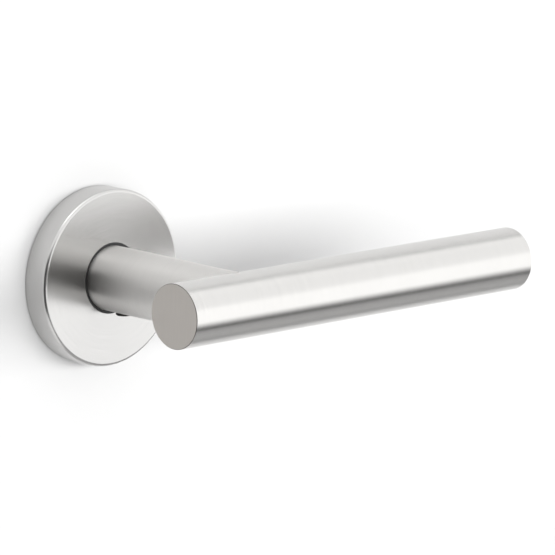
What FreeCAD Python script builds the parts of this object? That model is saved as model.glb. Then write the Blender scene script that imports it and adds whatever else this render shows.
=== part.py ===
"""Door lever handle on a round rose: a T-bar lever of round tube on a sprung, push-on rose.

Millimetres and degrees. The origin is the centre of the rose's back face, on the spindle's
axis. +Z is up, the grip runs along +X, and the door is on the +Y side. A "depth" is a
distance out of the door, so it is measured along -Y, and a negative depth is in the door.
"""
import FreeCAD
import Part
import os
import re
import Sketcher
from FreeCAD import Placement, Rotation, Vector

SIZES = {
    # lever tubes
    "tube_radius": 9.5,
    "tube_bore": 8.0,
    "neck_radius": 9.7,
    "neck_taper_start": 25.0,
    "neck_taper_end": 50.0,
    "grip_depth": 62.0,
    "grip_near": 25.0,
    "grip_far": 114.0,
    "cap_thickness": 1.5,
    "cap_plug_length": 4.0,
    "cap_plug_radius": 7.95,
    "cap_plug_bore": 6.6,
    "cap_edge": 0.15,
    # hub, spindle and set screw
    "neck_start": 6.65,
    "hub_radius": 7.98,
    "hub_depth": 22.0,
    "hub_start": 0.1,
    "hub_chamfer": 0.3,
    "shank_radius": 7.5,
    "flat_half": 6.6,
    "spindle_side": 8.0,
    "spindle_play": 0.06,
    "spindle_back": 50.0,
    "spindle_front": 21.5,
    "spindle_chamfer": 0.8,
    "set_screw_depth": 13.8,
    "set_screw_radius": 2.42,
    "set_screw_hole": 2.45,
    "set_screw_tip": 4.05,
    "set_screw_point": 1.0,
    "set_screw_end": 10.3,
    "set_screw_edge": 0.3,
    "set_screw_socket": 1.44,
    "set_screw_socket_length": 2.5,
    # circlip, disc spring and thrust washer, behind the base plate's web
    "clip_groove": 7.15,
    "clip_radius": 9.2,
    "clip_start": 0.6,
    "clip_end": 1.4,
    "clip_play": 0.05,
    "clip_gap": 60.0,
    "clip_eye_radius": 0.5,
    "clip_eye_inset": 7.0,
    "washer_bore": 7.56,
    "disc_spring_radius": 9.4,
    "disc_spring_end": 1.88,
    "disc_spring_gauge": 0.26,
    "disc_spring_play": 0.02,
    "thrust_washer_radius": 9.6,
    "thrust_washer_start": 1.9,
    "thrust_washer_end": 2.3,
    # base plate
    "base_radius": 24.9,
    "base_height": 6.2,
    "base_chamfer": 0.5,
    "web_start": 2.35,
    "recess_radius": 9.9,
    "boss_radius": 10.6,
    "boss_height": 5.2,
    "pocket_radius": 14.2,
    "pocket_floor": 1.2,
    "rim_groove_radius": 23.95,
    "rim_groove_start": 2.95,
    "rim_groove_end": 4.25,
    "fixing_reach": 19.0,
    "spigot_radius": 4.0,
    "spigot_length": 6.0,
    "fixing_hole": 2.15,
    "counterbore_radius": 3.8,
    "counterbore_floor": 3.6,
    "wood_screw_hole": 1.95,
    "wood_screw_sink": 1.75,
    "window_inner": 16.8,
    "window_outer": 22.5,
    "window_floor": 1.5,
    "window_angle": 44.0,
    # bearing bush
    "bush_radius": 9.0,
    "bush_bore": 7.55,
    "bush_flange": 10.5,
    "bush_end": 5.8,
    # driver plate, stop lug and return spring
    "driver_radius": 13.9,
    "driver_start": 5.85,
    "driver_play": 0.03,
    "lug_inner": 13.5,
    "lug_outer": 15.0,
    "lug_start": 3.6,
    "lug_angle": 16.0,
    "lug_rest": 110.0,
    "lug_track": 15.2,
    "lug_track_overlap": 0.2,
    "lug_track_floor": 3.4,
    "lug_play": 0.5,
    "lever_travel": 40.0,
    "spring_radius": 12.5,
    "wire_radius": 0.7,
    "spring_start": 1.95,
    "spring_end": 5.1,
    "spring_pitch": 1.5,
    "spring_foot": 270.0,
    "spring_foot_start": 0.2,
    "spring_tip_end": 6.5,
    "spring_hole": 0.85,
    # screws
    "fixing_head_radius": 3.5,
    "fixing_head_top": 6.05,
    "fixing_edge": 0.4,
    "fixing_radius": 1.9,
    "fixing_thread": 2.0,
    "fixing_thread_start": 6.5,
    "fixing_back": 38.0,
    "wood_head_radius": 3.4,
    "wood_head_top": 6.15,
    "wood_head_rim": 0.2,
    "wood_radius": 1.7,
    "wood_thread": 1.75,
    "wood_thread_start": 0.5,
    "wood_shank_back": 14.0,
    "wood_tip_back": 20.0,
    "recess_arm": 1.7,
    "recess_half": 0.4,
    "recess_length": 1.3,
    # rose cover, its snap ring and its guide ring
    "rose_radius": 26.5,
    "rose_height": 8.5,
    "rose_wall": 1.2,
    "rose_edge": 1.0,
    "rose_inner_edge": 0.8,
    "rose_foot": 0.05,
    "guide_bore": 9.78,
    "guide_radius": 10.65,
    "guide_flange": 11.9,
    "guide_start": 6.75,
    "guide_recess": 0.2,
    "snap_ring_radius": 24.62,
    "snap_ring_depth": 3.6,
    "snap_ring_wire": 0.6,
    "snap_ring_gap": 8.0,
}

# The angle at which the return spring's tip comes off its coil, whose foot is at spring_foot.
SPRING_TIP = "(spring_foot - 360 * (spring_end - spring_start) / spring_pitch)"

# How a sketch's constraints name its origin point and its two axes.
ORIGIN = (-1, 1)
H_AXIS = -1
V_AXIS = -2

NAME = re.compile(r"[a-z_]+")
TINY = 1e-6

doc = FreeCAD.newDocument("lever_handle")


# --- the sheet and its expressions -------------------------------------------------------

def make_sheet():
    """Put every driving dimension in a cell of its own, under its alias."""
    sheet = doc.addObject("Spreadsheet::Sheet", "Sizes")
    for row, (alias, value) in enumerate(SIZES.items(), start=1):
        sheet.set(f"A{row}", alias.replace("_", " "))
        sheet.set(f"B{row}", str(value))
        sheet.setAlias(f"B{row}", alias)
    doc.recompute()
    return sheet


def cells(formula):
    """Turn a formula in aliases into one that FreeCAD reads from the sheet."""
    return NAME.sub(lambda m: f"Sizes.{m[0]}" if m[0] in SIZES else m[0], str(formula))


def number(formula):
    """The formula's present value."""
    return float(sheet.evalExpression(cells(formula)))


def bind(thing, prop, formula):
    """Drive one property of an object from the sheet."""
    thing.setExpression(prop, cells(formula))


# --- sketches ----------------------------------------------------------------------------

def origin_plane(body, role):
    """One of the body's own origin planes."""
    return next(f for f in body.Origin.OriginFeatures if f.Role == role)


def new_sketch(body, name, role, offset="0", turn=None):
    """A sketch on an origin plane, moved along its normal, or turned about its upright axis."""
    sketch = body.newObject("Sketcher::SketchObject", name)
    sketch.AttachmentSupport = (origin_plane(body, role), "")
    sketch.MapMode = "FlatFace"
    if turn is None:
        bind(sketch, "AttachmentOffset.Base.z", offset)
    else:
        sketch.AttachmentOffset = Placement(Vector(), Rotation(Vector(0, 1, 0), number(turn)))
        bind(sketch, "AttachmentOffset.Rotation.Angle", turn)
    return sketch


def front_sketch(body, name, depth):
    """A sketch parallel to the door: X across, Z up, seen from in front of it."""
    return new_sketch(body, name, "XZ_Plane", offset=depth)


def fix_coordinate(sketch, kind, axis, point, formula):
    """Hold one coordinate of a point at a formula's value, on the side it is on now."""
    value = number(formula)
    if abs(value) < TINY:
        sketch.addConstraint(Sketcher.Constraint("PointOnObject", *point, axis))
        return
    ends = (*ORIGIN, *point) if value > 0 else (*point, *ORIGIN)
    index = sketch.addConstraint(Sketcher.Constraint(kind, *ends, abs(value)))
    bind(sketch, f"Constraints[{index}]", formula if value > 0 else f"-({formula})")


def fix_point(sketch, point, across, up):
    """Hold a sketch point at (across, up)."""
    fix_coordinate(sketch, "DistanceX", V_AXIS, point, across)
    fix_coordinate(sketch, "DistanceY", H_AXIS, point, up)


def add_polygon(sketch, points):
    """A closed outline of straight sides through points given as pairs of formulas."""
    spots = [Vector(number(across), number(up), 0) for across, up in points]
    count = len(spots)
    for i in range(count):
        sketch.addGeometry(Part.LineSegment(spots[i], spots[(i + 1) % count]))
    for i in range(count):
        sketch.addConstraint(Sketcher.Constraint("Coincident", i, 2, (i + 1) % count, 1))
        fix_point(sketch, (i, 1), *points[i])


def add_circle(sketch, across, up, radius):
    """A circle by its centre and radius."""
    centre = Vector(number(across), number(up), 0)
    index = sketch.addGeometry(Part.Circle(centre, Vector(0, 0, 1), number(radius)))
    rule = sketch.addConstraint(Sketcher.Constraint("Radius", index, number(radius)))
    bind(sketch, f"Constraints[{rule}]", radius)
    if centre.Length < TINY:
        sketch.addConstraint(Sketcher.Constraint("Coincident", index, 3, *ORIGIN))
    else:
        fix_point(sketch, (index, 3), across, up)


def add_double_d(sketch, radius, half_flat):
    """A circle about the origin with two flats, left and right."""
    big = number(radius)
    flat = number(half_flat)
    rise = (big ** 2 - flat ** 2) ** 0.5
    corners = [Vector(*spot) for spot in ((flat, -rise), (flat, rise), (-flat, rise), (-flat, -rise))]
    top = Vector(0, big, 0)
    right = sketch.addGeometry(Part.LineSegment(corners[0], corners[1]))
    upper = sketch.addGeometry(Part.Arc(corners[1], top, corners[2]))
    left = sketch.addGeometry(Part.LineSegment(corners[2], corners[3]))
    lower = sketch.addGeometry(Part.Arc(corners[3], -top, corners[0]))
    loop = (right, upper, left, lower)
    for first, second in zip(loop, loop[1:] + loop[:1]):
        sketch.addConstraint(Sketcher.Constraint("Coincident", first, 2, second, 1))
    for side in (right, left):
        sketch.addConstraint(Sketcher.Constraint("Vertical", side))
    fix_coordinate(sketch, "DistanceX", V_AXIS, (right, 1), half_flat)
    fix_coordinate(sketch, "DistanceX", V_AXIS, (left, 1), f"-({half_flat})")
    for arc in (upper, lower):
        sketch.addConstraint(Sketcher.Constraint("Coincident", arc, 3, *ORIGIN))
        rule = sketch.addConstraint(Sketcher.Constraint("Radius", arc, big))
        bind(sketch, f"Constraints[{rule}]", radius)


# --- features ----------------------------------------------------------------------------

def new_body(label, base=(0, 0, 0), axis=(0, 0, 1), angle=0):
    """A PartDesign body, with its place given as formulas and its turn in degrees."""
    body = doc.addObject("PartDesign::Body", f"{label}_body")
    body.Label = label
    body.Placement = Placement(Vector(), Rotation(Vector(*axis), angle))
    for letter, formula in zip("xyz", base):
        bind(body, f"Placement.Base.{letter}", formula)
    return body


def finish_feature(body, before, adds, name):
    """Recompute, and see that the feature really added or removed material."""
    doc.recompute()
    change = body.Shape.Volume - before
    if (change if adds else -change) < TINY:
        raise RuntimeError(f"{body.Label}: {name} changed the volume by {change}")


def volume_of(body):
    """The body's volume so far."""
    return 0.0 if body.Tip is None else body.Shape.Volume


def turn_profile(body, name, draw, start=None, span="360", adds=True):
    """Revolve a (radius, depth) profile about the body's Y axis, whole or as a sector."""
    before = volume_of(body)
    sketch = new_sketch(body, f"{name}_sketch", "XY_Plane", turn=start)
    draw(sketch)
    kind = "PartDesign::Revolution" if adds else "PartDesign::Groove"
    feature = body.newObject(kind, name)
    feature.Profile = sketch
    feature.ReferenceAxis = (sketch, ["V_Axis"])
    bind(feature, "Angle", span)
    finish_feature(body, before, adds, name)
    return feature


def outline(points):
    """A drawing of a closed (radius, depth) outline."""
    return lambda sketch: add_polygon(sketch, [(radius, f"-({depth})") for radius, depth in points])


def ring(inner, outer, start, end):
    """A drawing of a plain rectangular ring section."""
    return outline([(inner, start), (outer, start), (outer, end), (inner, end)])


def extrude(body, name, sketch, length, adds, **options):
    """Pad along the sketch's normal, or pocket against it."""
    before = volume_of(body)
    feature = body.newObject("PartDesign::Pad" if adds else "PartDesign::Pocket", name)
    feature.Profile = sketch
    for prop, value in options.items():
        setattr(feature, prop, value)
    if length is not None:
        bind(feature, "Length", length)
    finish_feature(body, before, adds, name)
    return feature


def front_cut(body, name, draw, start, end):
    """Cut a shape drawn parallel to the door, between two depths."""
    sketch = front_sketch(body, f"{name}_sketch", end)
    draw(sketch)
    return extrude(body, name, sketch, f"({end}) - ({start})", adds=False)


def front_pad(body, name, draw, start, end):
    """Add a shape drawn parallel to the door, between two depths."""
    sketch = front_sketch(body, f"{name}_sketch", start)
    draw(sketch)
    return extrude(body, name, sketch, f"({end}) - ({start})", adds=True)


def circles(places, radius):
    """A drawing of equal circles at (across, up)."""
    return lambda sketch: [add_circle(sketch, across, up, radius) for across, up in places]


def polar(radius, angle):
    """The (across, up) formulas of a point at a radius and an angle in degrees."""
    return f"{radius} * cos({angle})", f"{radius} * sin({angle})"


def round_edges(shape, radius, depth):
    """The names of the circular edges of this radius in the plane at this depth."""
    found = []
    for i, edge in enumerate(shape.Edges, start=1):
        if not isinstance(edge.Curve, Part.Circle):
            continue
        same_radius = abs(edge.Curve.Radius - number(radius)) < TINY
        if same_radius and abs(edge.Curve.Center.y + number(depth)) < TINY:
            found.append(f"Edge{i}")
    if not found:
        raise RuntimeError(f"no round edge of radius {radius} at depth {depth}")
    return found


def dress(body, kind, name, edges, size, prop):
    """Fillet or chamfer edges of the body's tip."""
    before = volume_of(body)
    base = body.Tip
    feature = body.newObject(f"PartDesign::{kind}", name)
    feature.Base = (base, edges)
    bind(feature, prop, size)
    doc.recompute()
    if abs(body.Shape.Volume - before) < TINY:
        raise RuntimeError(f"{body.Label}: {name} changed nothing")
    return feature


def repeat_round(body, name, feature, count):
    """Repeat a feature evenly round the body's Y axis."""
    before = volume_of(body)
    pattern = body.newObject("PartDesign::PolarPattern", name)
    pattern.Originals = [feature]
    pattern.Axis = (feature.Profile[0], ["V_Axis"])
    pattern.Angle = 360
    pattern.Occurrences = count
    body.Tip = pattern
    finish_feature(body, before, False, name)
    return pattern


def cross_recess(sketch):
    """A drawing of a cross, as a screwdriver's tip makes it."""
    quarter = [("recess_half", "recess_half"), ("recess_half", "recess_arm"),
               ("-recess_half", "recess_arm")]
    points = []
    for _ in range(4):
        points += quarter
        quarter = [(f"-({up})", across) for across, up in quarter]
    add_polygon(sketch, points)


def hexagon(radius):
    """A drawing of a hexagon by the radius of its corners."""
    return lambda sketch: add_polygon(sketch, [polar(radius, 60 * i) for i in range(6)])


def pair(label, body, normal):
    """A node of two separate solids: a body and its mirror image through the origin."""
    body.Label = f"{label}_first"
    mirror = doc.addObject("Part::Mirroring", f"{label}_mirror")
    mirror.Source = body
    mirror.Normal = Vector(*normal)
    both = doc.addObject("Part::Compound", f"{label}_pair")
    both.Links = [body, mirror]
    both.Label = label
    doc.recompute()
    return both


# --- the lever ---------------------------------------------------------------------------

def along_grip(label):
    """A body whose depth runs along the grip, towards its free end."""
    return new_body(label, base=("0", "-grip_depth", "0"), axis=(0, 0, 1), angle=90)


def grip_tube():
    """The bar that the hand holds."""
    body = along_grip("grip_tube")
    turn_profile(body, "tube", ring("tube_bore", "tube_radius", "cap_thickness - grip_near",
                                    "grip_far - cap_thickness"))
    return body


def end_cap(label, face, inward):
    """A turned cap: a disc as wide as the tube, and a hollow plug pressed into its bore."""
    body = along_grip(label)

    def at(distance):
        return f"{face} + ({inward}) * ({distance})"

    turn_profile(body, "cap", outline([
        ("0", at("0")),
        ("tube_radius - cap_edge", at("0")),
        ("tube_radius", at("cap_edge")),
        ("tube_radius", at("cap_thickness")),
        ("cap_plug_radius", at("cap_thickness")),
        ("cap_plug_radius", at("cap_thickness + cap_plug_length")),
        ("cap_plug_bore", at("cap_thickness + cap_plug_length")),
        ("cap_plug_bore", at("cap_thickness")),
        ("0", at("cap_thickness")),
    ]))
    return body


def set_screw_bore(body):
    """The tapped hole from the axis down through the wall, for the set screw."""
    sketch = new_sketch(body, "set_screw_hole_sketch", "XY_Plane")
    add_circle(sketch, "0", "-set_screw_depth", "set_screw_hole")
    extrude(body, "set_screw_hole", sketch, None, adds=False, Type="ThroughAll")


def neck_tube():
    """The tube from the rose, slightly tapered to the grip's width and coped to sit on it."""
    body = new_body("neck_tube")
    turn_profile(body, "tube", outline([
        ("tube_bore", "neck_start"),
        ("neck_radius", "neck_start"),
        ("neck_radius", "neck_taper_start"),
        ("tube_radius", "neck_taper_end"),
        ("tube_radius", "grip_depth"),
        ("tube_bore", "grip_depth"),
    ]))
    sketch = new_sketch(body, "cope_sketch", "YZ_Plane")
    add_circle(sketch, "-grip_depth", "0", "tube_radius")
    extrude(body, "cope", sketch, None, adds=False, Type="ThroughAll", Midplane=True)
    set_screw_bore(body)
    return body


def spindle_hub():
    """The turned hub pressed into the neck: square bore, journal, flats and clip groove."""
    body = new_body("spindle_hub")
    turn_profile(body, "hub", outline([
        ("0", "hub_start"),
        ("shank_radius - hub_chamfer", "hub_start"),
        ("shank_radius", "hub_start + hub_chamfer"),
        ("shank_radius", "clip_start"),
        ("clip_groove", "clip_start"),
        ("clip_groove", "clip_end + clip_play"),
        ("shank_radius", "clip_end + clip_play"),
        ("shank_radius", "neck_start"),
        ("hub_radius", "neck_start"),
        ("hub_radius", "hub_depth - hub_chamfer"),
        ("hub_radius - hub_chamfer", "hub_depth"),
        ("0", "hub_depth"),
    ]))
    half = "(spindle_side + spindle_play) / 2"
    front_cut(body, "square_bore", square(half), "hub_start", "hub_depth")

    def outside_flats(sketch):
        add_double_d(sketch, "shank_radius", "flat_half")
        add_circle(sketch, "0", "0", "hub_radius")

    front_cut(body, "flats", outside_flats, "driver_start", "neck_start")
    set_screw_bore(body)
    return body


def square(half):
    """A drawing of a square about the axis."""
    corners = [(half, half), (f"-({half})", half), (f"-({half})", f"-({half})"), (half, f"-({half})")]
    return lambda sketch: add_polygon(sketch, corners)


def spindle():
    """The square bar that turns the latch, chamfered at both ends."""
    body = new_body("spindle")
    front_pad(body, "bar", square("spindle_side / 2"), "-spindle_back", "spindle_front")
    ends = []
    for i, edge in enumerate(body.Shape.Edges, start=1):
        if edge.BoundBox.YLength < TINY:
            ends.append(f"Edge{i}")
    dress(body, "Chamfer", "end_chamfers", ends, "spindle_chamfer", "Size")
    return body


def set_screw():
    """The hexagon-socket screw under the neck that clamps the lever to the spindle."""
    body = new_body("set_screw", base=("0", "-set_screw_depth", "0"), axis=(1, 0, 0), angle=90)
    turn_profile(body, "screw", outline([
        ("0", "set_screw_tip"),
        ("set_screw_radius - set_screw_point", "set_screw_tip"),
        ("set_screw_radius", "set_screw_tip + set_screw_point"),
        ("set_screw_radius", "set_screw_end - set_screw_edge"),
        ("set_screw_radius - set_screw_edge", "set_screw_end"),
        ("0", "set_screw_end"),
    ]))
    start = "set_screw_end - set_screw_socket_length"
    front_cut(body, "socket", hexagon("set_screw_socket"), start, "set_screw_end")
    return body


def driver_plate():
    """The plate on the hub's flats: it winds the spring, and its lug meets the stops."""
    body = new_body("driver_plate")
    turn_profile(body, "disc", ring("flat_half / 2", "driver_radius", "driver_start", "neck_start"))
    turn_profile(body, "stop_lug", ring("lug_inner", "lug_outer", "lug_start", "neck_start"),
                 start="-(lug_rest + lug_angle / 2)", span="lug_angle")

    def keyed_hole(sketch):
        add_double_d(sketch, "shank_radius + driver_play", "flat_half + driver_play")

    front_cut(body, "keyed_hole", keyed_hole, "driver_start", "neck_start")
    tip_hole = circles([polar("spring_radius", SPRING_TIP)], "spring_hole")
    front_cut(body, "spring_hole", tip_hole, "driver_start", "neck_start")
    return body


def circlip():
    """The open ring in the hub's groove, with an eye near each end."""
    body = new_body("circlip")
    turn_profile(body, "clip", ring("clip_groove", "clip_radius", "clip_start", "clip_end"),
                 start="90 + clip_gap / 2", span="360 - clip_gap")
    eye_radius = "(clip_groove + clip_radius) / 2"
    eyes = [polar(eye_radius, f"270 + {side} * (clip_gap / 2 + clip_eye_inset)") for side in (-1, 1)]
    front_cut(body, "eyes", circles(eyes, "clip_eye_radius"), "clip_start", "clip_end")
    return body


def disc_spring():
    """The conical washer that takes up the hub's end play."""
    body = new_body("disc_spring")
    turn_profile(body, "cone", outline([
        ("washer_bore", "clip_end + disc_spring_play"),
        ("disc_spring_radius", "disc_spring_end - disc_spring_gauge"),
        ("disc_spring_radius", "disc_spring_end"),
        ("washer_bore", "clip_end + disc_spring_play + disc_spring_gauge"),
    ]))
    return body


def thrust_washer():
    """The flat washer between the disc spring and the base plate's web."""
    body = new_body("thrust_washer")
    turn_profile(body, "washer", ring("washer_bore", "thrust_washer_radius",
                                      "thrust_washer_start", "thrust_washer_end"))
    return body


# --- the base on the door ----------------------------------------------------------------

def base_plate():
    """The cast plate screwed to the door: bearing boss, spring pocket, stops and spigots."""
    body = new_body("base_plate")
    turn_profile(body, "casting", outline([
        ("bush_radius", "web_start"),
        ("bush_radius", "boss_height"),
        ("boss_radius", "boss_height"),
        ("boss_radius", "pocket_floor"),
        ("pocket_radius", "pocket_floor"),
        ("pocket_radius", "base_height"),
        ("base_radius - base_chamfer", "base_height"),
        ("base_radius", "base_height - base_chamfer"),
        ("base_radius", "rim_groove_end"),
        ("rim_groove_radius", "rim_groove_end"),
        ("rim_groove_radius", "rim_groove_start"),
        ("base_radius", "rim_groove_start"),
        ("base_radius", "0"),
        ("recess_radius", "0"),
        ("recess_radius", "web_start"),
    ]))
    turn_profile(body, "lug_track", ring("pocket_radius - lug_track_overlap", "lug_track",
                                         "lug_track_floor", "base_height"),
                 start="-(lug_rest + lug_angle / 2 + lug_play)",
                 span="lever_travel + lug_angle + 2 * lug_play", adds=False)
    window = turn_profile(body, "window", ring("window_inner", "window_outer",
                                               "window_floor", "base_height"),
                          start="-45 - window_angle / 2", span="window_angle", adds=False)
    repeat_round(body, "windows", window, 4)
    across = [("fixing_reach", "0"), ("-fixing_reach", "0")]
    upright = [("0", "fixing_reach"), ("0", "-fixing_reach")]
    front_pad(body, "spigots", circles(across, "spigot_radius"), "-spigot_length", "0")
    front_cut(body, "fixing_holes", circles(across, "fixing_hole"), "-spigot_length", "base_height")
    front_cut(body, "counterbores", circles(across, "counterbore_radius"), "counterbore_floor",
              "base_height")
    front_cut(body, "wood_screw_holes", circles(upright, "wood_screw_hole"), "0", "base_height")
    mouths = round_edges(body.Shape, "wood_screw_hole", "base_height")
    dress(body, "Chamfer", "countersinks", mouths, "wood_screw_sink", "Size")
    foot_hole = circles([polar("spring_radius", "spring_foot")], "spring_hole")
    front_cut(body, "spring_hole", foot_hole, "0", "pocket_floor")
    return body


def bearing_bush():
    """The flanged bush in the base plate's boss, in which the hub turns."""
    body = new_body("bearing_bush")
    turn_profile(body, "bush", outline([
        ("bush_bore", "web_start"),
        ("bush_radius", "web_start"),
        ("bush_radius", "boss_height"),
        ("bush_flange", "boss_height"),
        ("bush_flange", "bush_end"),
        ("bush_bore", "bush_end"),
    ]))
    return body


def return_spring():
    """The torsion spring that lifts the lever: a left-hand coil with two legs along its axis."""
    turns = "(spring_end - spring_start) / spring_pitch"
    path = doc.addObject("Part::Helix", "coil_path")
    path.LocalCoord = "Left-handed"
    bind(path, "Pitch", "spring_pitch")
    bind(path, "Height", "spring_end - spring_start")
    bind(path, "Radius", "spring_radius")
    section = doc.addObject("Part::Circle", "coil_section")
    bind(section, "Radius", "wire_radius")
    section.Placement = Placement(Vector(), Rotation(Vector(1, 0, 0), 90))
    bind(section, "Placement.Base.x", "spring_radius")
    coil = doc.addObject("Part::Sweep", "coil")
    coil.Sections = [section]
    coil.Spine = path
    coil.Solid = True
    coil.Frenet = True
    foot = spring_leg("spring_foot_leg", "0", "spring_foot_start - spring_start", "0", bend="0")
    tip = spring_leg("spring_tip_leg", f"-360 * {turns}", "spring_end - spring_start",
                     "spring_tip_end - spring_start", bend="spring_end - spring_start")
    spring = doc.addObject("Part::MultiFuse", "return_spring_fuse")
    spring.Shapes = [coil, *foot, *tip]
    spring.Label = "return_spring"
    out_of_door = Rotation(Vector(1, 0, 0), 90)
    spring.Placement = Placement(Vector(), out_of_door * Rotation(Vector(0, 0, 1), number("spring_foot")))
    bind(spring, "Placement.Base.y", "-spring_start")
    return spring


def spring_leg(name, angle, start, end, bend):
    """A straight leg parallel to the coil's axis, with a ball at the bend where it joins the coil."""
    across, up = polar("spring_radius", angle)
    leg = doc.addObject("Part::Cylinder", name)
    bind(leg, "Radius", "wire_radius")
    bind(leg, "Height", f"({end}) - ({start})")
    ball = doc.addObject("Part::Sphere", f"{name}_bend")
    bind(ball, "Radius", "wire_radius")
    for piece, level in ((leg, start), (ball, bend)):
        bind(piece, "Placement.Base.x", across)
        bind(piece, "Placement.Base.y", up)
        bind(piece, "Placement.Base.z", level)
    return leg, ball


def fixing_screws():
    """The two M4 screws through the spigots, each with a cross recess in its head."""
    body = new_body("fixing_screw", base=("fixing_reach", "0", "0"))
    turn_profile(body, "screw", outline([
        ("0", "-fixing_back"),
        ("fixing_thread - fixing_edge", "-fixing_back"),
        ("fixing_thread", "fixing_edge - fixing_back"),
        ("fixing_thread", "-fixing_thread_start"),
        ("fixing_radius", "-fixing_thread_start"),
        ("fixing_radius", "counterbore_floor"),
        ("fixing_head_radius", "counterbore_floor"),
        ("fixing_head_radius", "fixing_head_top - fixing_edge"),
        ("fixing_head_radius - fixing_edge", "fixing_head_top"),
        ("0", "fixing_head_top"),
    ]))
    front_cut(body, "recess", cross_recess, "fixing_head_top - recess_length", "fixing_head_top")
    return pair("fixing_screws", body, (1, 0, 0))


def wood_screws():
    """The two countersunk wood screws above and below the spindle."""
    body = new_body("wood_screw", base=("0", "0", "fixing_reach"))
    cone_end = "wood_head_top - wood_head_rim"
    turn_profile(body, "screw", outline([
        ("0", "-wood_tip_back"),
        ("wood_thread", "-wood_shank_back"),
        ("wood_thread", "-wood_thread_start"),
        ("wood_radius", "-wood_thread_start"),
        ("wood_radius", f"{cone_end} - (wood_head_radius - wood_radius)"),
        ("wood_head_radius", cone_end),
        ("wood_head_radius", "wood_head_top"),
        ("0", "wood_head_top"),
    ]))
    front_cut(body, "recess", cross_recess, "wood_head_top - recess_length", "wood_head_top")
    return pair("wood_screws", body, (0, 0, 1))


def cover_snap_ring():
    """The open wire ring in the base plate's rim that the rose cover snaps over."""
    body = new_body("cover_snap_ring")
    turn_profile(body, "wire", circles([("snap_ring_radius", "-snap_ring_depth")], "snap_ring_wire"),
                 start="90 + snap_ring_gap / 2", span="360 - snap_ring_gap")
    return body


# --- the rose ----------------------------------------------------------------------------

def rose_cover():
    """The pressed cup that hides the base plate, with a rounded front edge."""
    body = new_body("rose_cover")
    inner_face = "rose_height - rose_wall"
    inner_wall = "rose_radius - rose_wall"
    turn_profile(body, "cup", outline([
        ("guide_radius", "rose_height"),
        ("rose_radius", "rose_height"),
        ("rose_radius", "rose_foot"),
        (inner_wall, "rose_foot"),
        (inner_wall, inner_face),
        ("guide_radius", inner_face),
    ]))
    front_edge = round_edges(body.Shape, "rose_radius", "rose_height")
    dress(body, "Fillet", "front_edge", front_edge, "rose_edge", "Radius")
    inner_edge = round_edges(body.Shape, inner_wall, inner_face)
    dress(body, "Fillet", "inner_edge", inner_edge, "rose_inner_edge", "Radius")
    return body


def neck_guide_ring():
    """The black ring in the cover's hole, in which the neck turns and along which it slides."""
    body = new_body("neck_guide_ring")
    inner_face = "rose_height - rose_wall"
    turn_profile(body, "ring", outline([
        ("guide_bore", "guide_start"),
        ("guide_bore", "rose_height - guide_recess"),
        ("guide_radius", "rose_height - guide_recess"),
        ("guide_radius", inner_face),
        ("guide_flange", inner_face),
        ("guide_flange", "guide_start"),
    ]))
    return body


# --- checks and files --------------------------------------------------------------------

def check(nodes):
    """Stop if any object of the document failed, or any sub-part is empty or invalid."""
    doc.recompute()
    for thing in doc.Objects:
        if "Invalid" in thing.State or "Error" in thing.State:
            raise RuntimeError(f"{thing.Label} did not compute: {thing.State}")
    for node in nodes:
        if node.Shape.isNull() or not node.Shape.isValid() or not node.Shape.Solids:
            raise RuntimeError(f"{node.Label} has no valid solid")


def export(nodes):
    """Write each sub-part to a STEP file named after it."""
    os.makedirs("parts", exist_ok=True)
    for node in nodes:
        node.Shape.exportStep(f"parts/{node.Label}.step")


sheet = make_sheet()
NODES = [
    grip_tube(),
    neck_tube(),
    end_cap("near_end_cap", "-grip_near", "1"),
    end_cap("far_end_cap", "grip_far", "-1"),
    spindle_hub(),
    spindle(),
    set_screw(),
    driver_plate(),
    circlip(),
    disc_spring(),
    thrust_washer(),
    base_plate(),
    bearing_bush(),
    return_spring(),
    fixing_screws(),
    wood_screws(),
    cover_snap_ring(),
    rose_cover(),
    neck_guide_ring(),
]
check(NODES)
export(NODES)
for node in NODES:
    print(f"{node.Label}: {len(node.Shape.Solids)} solid(s), {node.Shape.Volume:.1f} mm3")
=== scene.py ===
"""Looks of the door lever handle: materials, finer pieces, stage, soft light and camera.

Metres, in the CAD frame: +Z up, +X along the grip, +Y into the door, and the origin at the
centre of the rose's back face, on the spindle's axis.
"""
import math

import bmesh
import bpy
from mathutils import Matrix, Vector


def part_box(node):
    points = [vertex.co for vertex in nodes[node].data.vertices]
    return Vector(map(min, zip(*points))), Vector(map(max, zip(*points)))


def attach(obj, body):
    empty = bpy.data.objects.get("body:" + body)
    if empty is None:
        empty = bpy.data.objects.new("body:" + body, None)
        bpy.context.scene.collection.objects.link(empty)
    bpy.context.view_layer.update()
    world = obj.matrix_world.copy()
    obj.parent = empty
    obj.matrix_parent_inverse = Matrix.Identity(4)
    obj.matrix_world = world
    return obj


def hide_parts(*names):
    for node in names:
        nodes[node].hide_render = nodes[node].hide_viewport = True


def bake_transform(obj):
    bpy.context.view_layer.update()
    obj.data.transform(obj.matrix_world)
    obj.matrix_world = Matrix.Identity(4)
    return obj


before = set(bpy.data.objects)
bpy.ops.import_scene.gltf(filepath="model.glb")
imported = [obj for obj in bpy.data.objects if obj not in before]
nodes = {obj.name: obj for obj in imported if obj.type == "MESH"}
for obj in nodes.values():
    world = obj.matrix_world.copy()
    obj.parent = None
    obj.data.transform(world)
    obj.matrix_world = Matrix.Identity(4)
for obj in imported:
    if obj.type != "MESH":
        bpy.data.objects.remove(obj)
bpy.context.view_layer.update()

scene = bpy.context.scene
scene.view_settings.view_transform = "Standard"


# --- camera ------------------------------------------------------------------------------

# fitted to the outlines of the rose, the neck and the grip in the photo
CAMERA_PLACE = (-0.9149, -1.0087, 0.2648)
CAMERA_ANGLES = (44.51, 11.02, 0.96)
FOCAL_LENGTH_MM = 303.9
SENSOR_MM = 36


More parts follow.
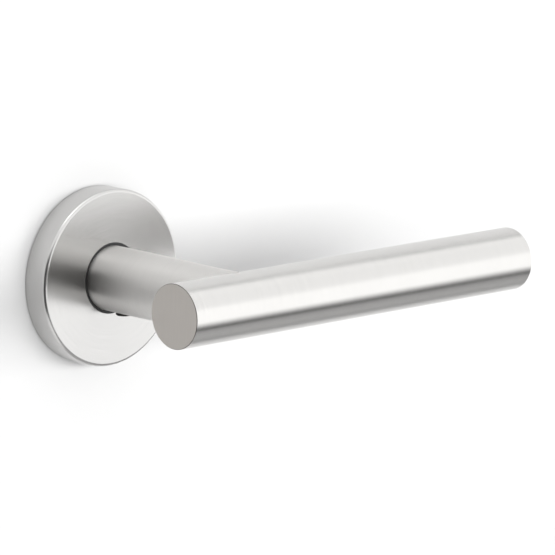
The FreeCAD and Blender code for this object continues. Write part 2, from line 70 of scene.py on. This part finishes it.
def make_camera():
    """A long lens from the left of the door, a little above the lever."""
    azimuth, elevation, roll = (math.radians(angle) for angle in CAMERA_ANGLES)
    forward = Vector((math.sin(azimuth) * math.cos(elevation),
                      math.cos(azimuth) * math.cos(elevation),
                      -math.sin(elevation)))
    level = Vector((math.cos(azimuth), -math.sin(azimuth), 0))
    upright = level.cross(forward)
    right = level * math.cos(roll) + upright * math.sin(roll)
    up = right.cross(forward)
    data = bpy.data.cameras.new("camera")
    data.sensor_width = SENSOR_MM
    data.lens = FOCAL_LENGTH_MM
    data.clip_end = 20
    camera = bpy.data.objects.new("camera", data)
    turned = Matrix((right, up, -forward)).transposed().to_4x4()
    camera.matrix_world = Matrix.Translation(CAMERA_PLACE) @ turned
    scene.collection.objects.link(camera)
    scene.camera = camera


make_camera()


# --- node helpers ------------------------------------------------------------------------

class Nodes:
    """A short way to write node trees."""

    def __init__(self, tree):
        self.tree = tree
        self.tree.nodes.clear()

    def add(self, kind, inputs=None, **props):
        node = self.tree.nodes.new(kind)
        for name, value in props.items():
            setattr(node, name, value)
        for name, value in (inputs or {}).items():
            self.put(node.inputs[name], value)
        return node

    def put(self, socket, value):
        if isinstance(value, bpy.types.NodeSocket):
            self.tree.links.new(value, socket)
        else:
            socket.default_value = value

    def math(self, operation, *values):
        node = self.add("ShaderNodeMath", operation=operation)
        for socket, value in zip(node.inputs, values):
            self.put(socket, value)
        return node.outputs[0]

    def remap(self, value, low, high, out_low=0.0, out_high=1.0):
        node = self.add("ShaderNodeMapRange", {"Value": value, "From Min": low, "From Max": high,
                                               "To Min": out_low, "To Max": out_high},
                        interpolation_type="SMOOTHSTEP")
        return node.outputs["Result"]

    def noise(self, vector, scale, detail=2.0, roughness=0.5):
        node = self.add("ShaderNodeTexNoise",
                        {"Vector": vector, "Scale": scale, "Detail": detail, "Roughness": roughness})
        return node.outputs["Fac"]


def new_material(name):
    """A material with an empty tree."""
    material = bpy.data.materials.new(name)
    material.use_nodes = True
    return material, Nodes(material.node_tree)


def give(material, *names):
    """Put one material on CAD nodes."""
    for name in names:
        for slot in nodes[name].material_slots:
            slot.material = material


# --- steel -------------------------------------------------------------------------------

# how far the brushed lines and the larger clouds change the steel
LINE_SHADE = 0.04
LINE_ROUGHNESS = 0.012
CLOUD_ROUGHNESS = 0.008
CLOUD_SCALE = 70.0

# a brushed line is this many times longer than it is wide
LINE_LENGTH = 90

# painted shade: a cap's bevelled edge is painted darker than the face that it borders, a dark line in place
# of the bevel's highlight
PAINTED_EDGE_SHADE = 0.38
EDGE_ROUGHNESS = 0.5


def radial_parts(n, axis, centre):
    """Object coordinates from a centre: along the axis, the two across it, and the radius."""
    position = n.add("ShaderNodeTexCoord").outputs["Object"]
    local = n.add("ShaderNodeVectorMath", {0: position, 1: centre}, operation="SUBTRACT").outputs[0]
    parts = n.add("ShaderNodeSeparateXYZ", {0: local}).outputs
    along = parts["XYZ".index(axis)]
    across = [parts[i] for i in range(3) if "XYZ"[i] != axis]
    squares = [n.math("MULTIPLY", part, part) for part in across]
    return local, along, across, n.math("SQRT", n.math("ADD", *squares))


def steel_shader(n, colour, roughness, lines, normal, cloud, **options):
    """A bare metal shader whose colour and roughness follow its brushed lines."""
    shade = n.add("ShaderNodeMix", {"Factor": n.remap(lines, 0.25, 0.75),
                                    "A": [c * (1 - LINE_SHADE) for c in colour] + [1],
                                    "B": [c * (1 + LINE_SHADE) for c in colour] + [1]}, data_type="RGBA")
    rough = n.math("ADD",
                   n.remap(lines, 0.3, 0.7, roughness - LINE_ROUGHNESS, roughness + LINE_ROUGHNESS),
                   n.remap(cloud, 0.3, 0.7, -CLOUD_ROUGHNESS, CLOUD_ROUGHNESS))
    return n.add("ShaderNodeBsdfPrincipled", {
        "Base Color": shade.outputs["Result"],
        "Metallic": 1.0,
        "Roughness": rough,
        "Normal": normal,
        **options,
    }).outputs[0]


def ring_brushed(n, axis, centre, colour, roughness, anisotropic, wander, density):
    """A shader of steel brushed in fine rings about an axis through a centre.

    density is the lines' fineness per metre, and wander how far coarser lines lean the reflections.
    """
    local, along, across, radius = radial_parts(n, axis, centre)
    line = n.math("ADD", along, radius)

    def streaks(count, detail):
        slow = count / LINE_LENGTH
        grain = n.add("ShaderNodeCombineXYZ", {"X": n.math("MULTIPLY", line, count),
                                               "Y": n.math("MULTIPLY", across[0], slow),
                                               "Z": n.math("MULTIPLY", across[1], slow)}).outputs[0]
        return n.noise(grain, 1.0, detail=detail, roughness=0.6)

    fine = streaks(density, 3.0)
    tangent = n.add("ShaderNodeTangent", direction_type="RADIAL", axis=axis).outputs[0]
    bump = n.add("ShaderNodeBump", {"Strength": 0.2, "Distance": 0.000004, "Height": fine}).outputs[0]
    lean = n.math("MULTIPLY", n.math("SUBTRACT", streaks(density / 5, 2.0), 0.5), wander * 4)
    turned = n.add("ShaderNodeVectorMath", {0: tangent, "Scale": lean}, operation="SCALE").outputs[0]
    tilted = n.add("ShaderNodeVectorMath", {0: bump, 1: turned}, operation="ADD").outputs[0]
    normal = n.add("ShaderNodeVectorMath", {0: tilted}, operation="NORMALIZE").outputs[0]
    return steel_shader(n, colour, roughness, fine, normal, n.noise(local, CLOUD_SCALE),
                        **{"Anisotropic": anisotropic, "Anisotropic Rotation": 0.25, "Tangent": tangent})


def brushed(name, axis, centre, colour, roughness, anisotropic, wander=0.02, density=9000.0):
    """Stainless steel brushed in fine rings about an axis through a centre."""
    material, n = new_material(name)
    shader = ring_brushed(n, axis, centre, colour, roughness, anisotropic, wander, density)
    n.add("ShaderNodeOutputMaterial", {"Surface": shader})
    return material


def end_capped(name, colour, roughness, side):
    """A cap: a face ground in upright lines, an edge painted dark as painted shade, and a side brushed as the
    tube's.

    The normal's share along X tells the three apart. side holds what ring_brushed takes.
    """
    material, n = new_material(name)
    coordinates = n.add("ShaderNodeTexCoord").outputs
    upright_lines = (7000.0, 7000.0, 90.0)
    stretched = n.add("ShaderNodeVectorMath", {0: coordinates["Object"], 1: upright_lines},
                      operation="MULTIPLY").outputs[0]
    lines = n.noise(stretched, 1.0, detail=3.0, roughness=0.6)
    bump = n.add("ShaderNodeBump", {"Strength": 0.2, "Distance": 0.00001, "Height": lines}).outputs[0]
    face = steel_shader(n, colour, roughness, lines, bump, n.noise(coordinates["Object"], 90.0))
    # painted shade: the edge takes the face's colour darkened, standing in for a dark line at the cap's rim
    edge = steel_shader(n, [c * PAINTED_EDGE_SHADE for c in colour], EDGE_ROUGHNESS, lines, bump, lines)
    outward = n.math("ABSOLUTE", n.add("ShaderNodeSeparateXYZ", {0: coordinates["Normal"]}).outputs[0])
    past_side = n.remap(outward, 0.15, 0.4)
    past_edge = n.remap(outward, 0.8, 0.95)
    rim = n.add("ShaderNodeMixShader", {0: past_side, 1: ring_brushed(n, *side), 2: edge}).outputs[0]
    shader = n.add("ShaderNodeMixShader", {0: past_edge, 1: rim, 2: face}).outputs[0]
    n.add("ShaderNodeOutputMaterial", {"Surface": shader})
    return material


# axis, centre, colour, roughness, anisotropy, wander and density of the grip's brushing
grip_centre = (0, sum(corner[1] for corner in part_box("grip_tube")) / 2, 0)
grip_brushing = ("X", grip_centre, (0.64, 0.632, 0.619), 0.25, 0.9, 0.006, 9000.0)
spindle_axis = ("Y", (0, 0, 0))

give(brushed("brushed_steel_grip", *grip_brushing), "grip_tube")
give(brushed("brushed_steel_neck", *spindle_axis, (0.61, 0.60, 0.585), 0.37, 0.88, wander=0.008),
     "neck_tube")
give(brushed("brushed_steel_rose", *spindle_axis, (0.56, 0.555, 0.548), 0.25, 0.6, wander=0.002),
     "rose_cover")
# painted shade: the caps' steel is given a darker colour than the grip's, standing in for the darker
# surroundings that their faces reflect
give(end_capped("ground_steel_caps_painted_shade", (0.43, 0.407, 0.384), 0.42, grip_brushing),
     "near_end_cap", "far_end_cap")
give(brushed("turned_steel", *spindle_axis, (0.5, 0.5, 0.49), 0.3, 0.6, density=4000.0),
     "spindle_hub", "thrust_washer")


# --- other finishes ----------------------------------------------------------------------

def speckled(name, colour, second, roughness, metallic, scale, relief):
    """A finish with fine relief, in metres, whose colour drifts between two shades."""
    material, n = new_material(name)
    position = n.add("ShaderNodeTexCoord").outputs["Object"]
    grain = n.noise(position, scale, detail=4.0, roughness=0.6)
    cloud = n.noise(position, scale / 12, detail=3.0)
    shade = n.add("ShaderNodeMix", {"Factor": n.remap(cloud, 0.3, 0.7), "A": (*colour, 1), "B": (*second, 1)},
                  data_type="RGBA")
    bump = n.add("ShaderNodeBump", {"Strength": 0.5, "Distance": relief, "Height": grain})
    shader = n.add("ShaderNodeBsdfPrincipled", {
        "Base Color": shade.outputs["Result"],
        "Metallic": metallic,
        "Roughness": n.remap(grain, 0.3, 0.7, roughness - 0.06, roughness + 0.06),
        "Normal": bump.outputs[0],
    })
    n.add("ShaderNodeOutputMaterial", {"Surface": shader.outputs[0]})
    return material


zinc_plating = speckled("zinc_plating", (0.55, 0.58, 0.62), (0.62, 0.60, 0.52), 0.3, 1.0, 1500.0, 0.000006)
give(zinc_plating, "spindle", "driver_plate", "fixing_screws", "wood_screws")
spring_wire = speckled("spring_wire", (0.20, 0.20, 0.21), (0.26, 0.24, 0.21), 0.32, 1.0, 2500.0, 0.000004)
give(spring_wire, "disc_spring", "return_spring", "cover_snap_ring")
give(speckled("cast_zinc", (0.36, 0.37, 0.38), (0.44, 0.44, 0.44), 0.55, 1.0, 1800.0, 0.00003),
     "base_plate")
give(speckled("white_nylon", (0.76, 0.74, 0.68), (0.80, 0.79, 0.74), 0.42, 0.0, 900.0, 0.000008),
     "bearing_bush")
give(speckled("black_nylon", (0.012, 0.012, 0.013), (0.018, 0.018, 0.018), 0.5, 0.0, 3000.0, 0.000005),
     "neck_guide_ring")
give(speckled("black_oxide", (0.02, 0.02, 0.022), (0.035, 0.033, 0.03), 0.38, 0.6, 2500.0, 0.000005),
     "set_screw", "circlip")


# --- finer pieces ------------------------------------------------------------------------

def add_piece(name, mesh, node, material):
    """An object that stands for a CAD node."""
    mesh.materials.clear()
    mesh.materials.append(material)
    piece = bpy.data.objects.new(name, mesh)
    scene.collection.objects.link(piece)
    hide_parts(node)
    return piece


def add_thread(shape, centre, start, end, pitch, outer, root, ridge, taper, blunt):
    """A thread along Y, from start to end, in metres.

    root is the share of the outer radius between the ridges, ridge a ridge's half width in pitches,
    taper the length over which the end narrows, and blunt the share of the radius left at the tip.
    """
    around = 20
    rows_per_pitch = 8
    count = round((end - start) / pitch * rows_per_pitch)
    rows = []
    for row in range(count + 1):
        y = start + (end - start) * row / count
        reach = outer * min(1.0, blunt + (1 - blunt) * (end - y) / taper)
        ring = []
        for step in range(around):
            phase = ((y - start) / pitch - step / around) % 1
            crest = max(0.0, 1 - abs(phase - 0.5) / ridge)
            radius = reach if row == 0 else reach * (root + (1 - root) * crest)
            turn = 2 * math.pi * step / around
            ring.append(shape.verts.new((centre[0] + radius * math.cos(turn), y,
                                         centre[1] + radius * math.sin(turn))))
        rows.append(ring)
    for low, high in zip(rows, rows[1:]):
        for step in range(around):
            following = (step + 1) % around
            shape.faces.new((low[step], high[step], high[following], low[following]))
    shape.faces.new(rows[-1][::-1])


def threaded_screws(node, centres, start, **thread):
    """The screws of a CAD node, with threads in place of their plain shanks past start."""
    shape = bmesh.new()
    shape.from_mesh(nodes[node].data)
    margin = 0.0001
    shank = [v for v in shape.verts if v.co.y > start + margin]
    bmesh.ops.delete(shape, geom=shank, context="VERTS")
    for centre in centres:
        add_thread(shape, centre, start, **thread)
    mesh = bpy.data.meshes.new(node + "_threaded")
    shape.to_mesh(mesh)
    shape.free()
    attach(add_piece(node + "_threaded", mesh, node, zinc_plating), "base")


# both pairs stand 19 mm from the spindle's axis: the M4 screws level, the wood screws upright
SCREW_RADIUS = 0.019
threaded_screws("fixing_screws", [(SCREW_RADIUS, 0), (-SCREW_RADIUS, 0)], 0.0065, end=0.038, pitch=0.0007,
                outer=0.002, root=0.79, ridge=0.5, taper=0.0005, blunt=0.8)
threaded_screws("wood_screws", [(0, SCREW_RADIUS), (0, -SCREW_RADIUS)], 0.0005, end=0.020, pitch=0.0014,
                outer=0.00175, root=0.68, ridge=0.26, taper=0.006, blunt=0.02)

# the return spring, which winds up between its foot in the base plate and its tip in the driver plate, stands
# as a copy of its CAD node's mesh with its placement baked in
wound_spring = add_piece("return_spring_wound", nodes["return_spring"].data.copy(), "return_spring",
                         spring_wire)
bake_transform(wound_spring)


# --- stage and light ---------------------------------------------------------------------

def add_stage(name, points, faces, matrix):
    """A stage object from its points and faces."""
    mesh = bpy.data.meshes.new(name)
    mesh.from_pydata(points, [], faces)
    thing = bpy.data.objects.new(name, mesh)
    thing.matrix_world = matrix
    scene.collection.objects.link(thing)
    return thing


def square_round_hole(half, hole):
    """A flat square with a round hole in its middle, as points and faces."""
    steps = 96
    turns = [2 * math.pi * i / steps for i in range(steps)]
    rim = [(hole * math.cos(a), hole * math.sin(a), 0) for a in turns]
    reach = [half / max(abs(math.cos(a)), abs(math.sin(a))) for a in turns]
    edge = [(r * math.cos(a), r * math.sin(a), 0) for r, a in zip(reach, turns)]
    faces = [(i, steps + i, steps + (i + 1) % steps, (i + 1) % steps) for i in range(steps)]
    return rim + edge, faces


def pale_material(name, value, one_sided):
    """Pale paint, clear from behind where one_sided."""
    material, n = new_material(name)
    shader = n.add("ShaderNodeBsdfDiffuse", {"Color": (value, value, value, 1)}).outputs[0]
    if one_sided:
        back = n.add("ShaderNodeNewGeometry").outputs["Backfacing"]
        clear = n.add("ShaderNodeBsdfTransparent").outputs[0]
        shader = n.add("ShaderNodeMixShader", {0: back, 1: shader, 2: clear}).outputs[0]
    n.add("ShaderNodeOutputMaterial", {"Surface": shader})
    return material


UPRIGHT = Matrix.Rotation(math.radians(90), 4, "X")

# the wall stands just behind the rose's back face, and its hole lets the back be seen from behind
WALL_Y = 0.0002
WALL_HALF = 1.5
WALL_HOLE = 0.024
FLOOR_Z = -0.25
FLOOR_HALF = 3

wall = add_stage("wall", *square_round_hole(WALL_HALF, WALL_HOLE),
                 Matrix.Translation((0, WALL_Y, 0)) @ UPRIGHT)
wall.data.materials.append(pale_material("wall_paint", 0.49, True))
floor_corners = [(x * FLOOR_HALF, y * FLOOR_HALF, 0) for x, y in ((-1, -1), (1, -1), (1, 1), (-1, 1))]
floor = add_stage("floor", floor_corners, [(0, 1, 2, 3)], Matrix.Translation((0, 0, FLOOR_Z)))
floor.data.materials.append(pale_material("floor_paint", 0.8, False))
floor.visible_glossy = False


def make_softbox():
    """A wide low softbox in front and to the right, which throws the lever's soft shadow."""
    width = 0.80
    height = 0.14
    radiance = 10.2
    data = bpy.data.lights.new("softbox", "AREA")
    data.shape = "RECTANGLE"
    data.size = width
    data.size_y = height
    data.energy = radiance * math.pi * width * height
    softbox = bpy.data.objects.new("softbox", data)
    softbox.matrix_world = Matrix.Translation((0.10, -0.50, 0.045)) @ UPRIGHT
    softbox.visible_camera = False
    softbox.visible_glossy = False
    scene.collection.objects.link(softbox)


def make_world():
    """Studio light by direction: bright to the right and above, dim towards the left.

    The right side has a bright ceiling that falls off below the level into a faint floor glow. The left
    side is dark at the level, and brighter below and above. The camera itself sees plain pale grey.
    """
    world = bpy.data.worlds.new("studio")
    world.use_nodes = True
    n = Nodes(world.node_tree)
    direction = n.add("ShaderNodeTexCoord").outputs["Generated"]
    x, y, z = n.add("ShaderNodeSeparateXYZ", {0: direction}).outputs
    toward_right = n.remap(x, -0.25, 0.05)
    overhead = n.remap(z, 0.8, 0.95, 0.0, 2.0)
    ceiling = n.math("ADD", n.remap(z, 0.2, 0.4, 1.62, 1.3), n.remap(z, 0.85, 0.97, 0.0, 0.8))
    lit = n.remap(z, -0.58, -0.24)
    floor_glow = n.remap(z, -0.605, -0.575, 0.57, 0.07)
    right_side = n.math("ADD", n.math("MULTIPLY", lit, ceiling),
                        n.math("MULTIPLY", n.math("SUBTRACT", 1.0, lit), floor_glow))
    below = n.remap(z, -0.66, -0.54, 1.2, 0.09)
    above = n.remap(z, 0.2, 0.55, 0.0, 1.2)
    left_side = n.math("ADD", below, n.math("ADD", above, overhead))
    mixed = n.add("ShaderNodeMix", {"Factor": toward_right, "A": left_side, "B": right_side},
                  data_type="FLOAT")
    studio = n.add("ShaderNodeBackground", {"Color": (1, 1, 1, 1), "Strength": mixed.outputs["Result"]})
    plain = n.add("ShaderNodeBackground", {"Color": (0.9, 0.9, 0.9, 1), "Strength": 1.0})
    seen = n.add("ShaderNodeLightPath").outputs["Is Camera Ray"]
    both = n.add("ShaderNodeMixShader", {0: seen, 1: studio.outputs[0], 2: plain.outputs[0]})
    n.add("ShaderNodeOutputWorld", {"Surface": both.outputs[0]})
    scene.world = world


make_softbox()
make_world()
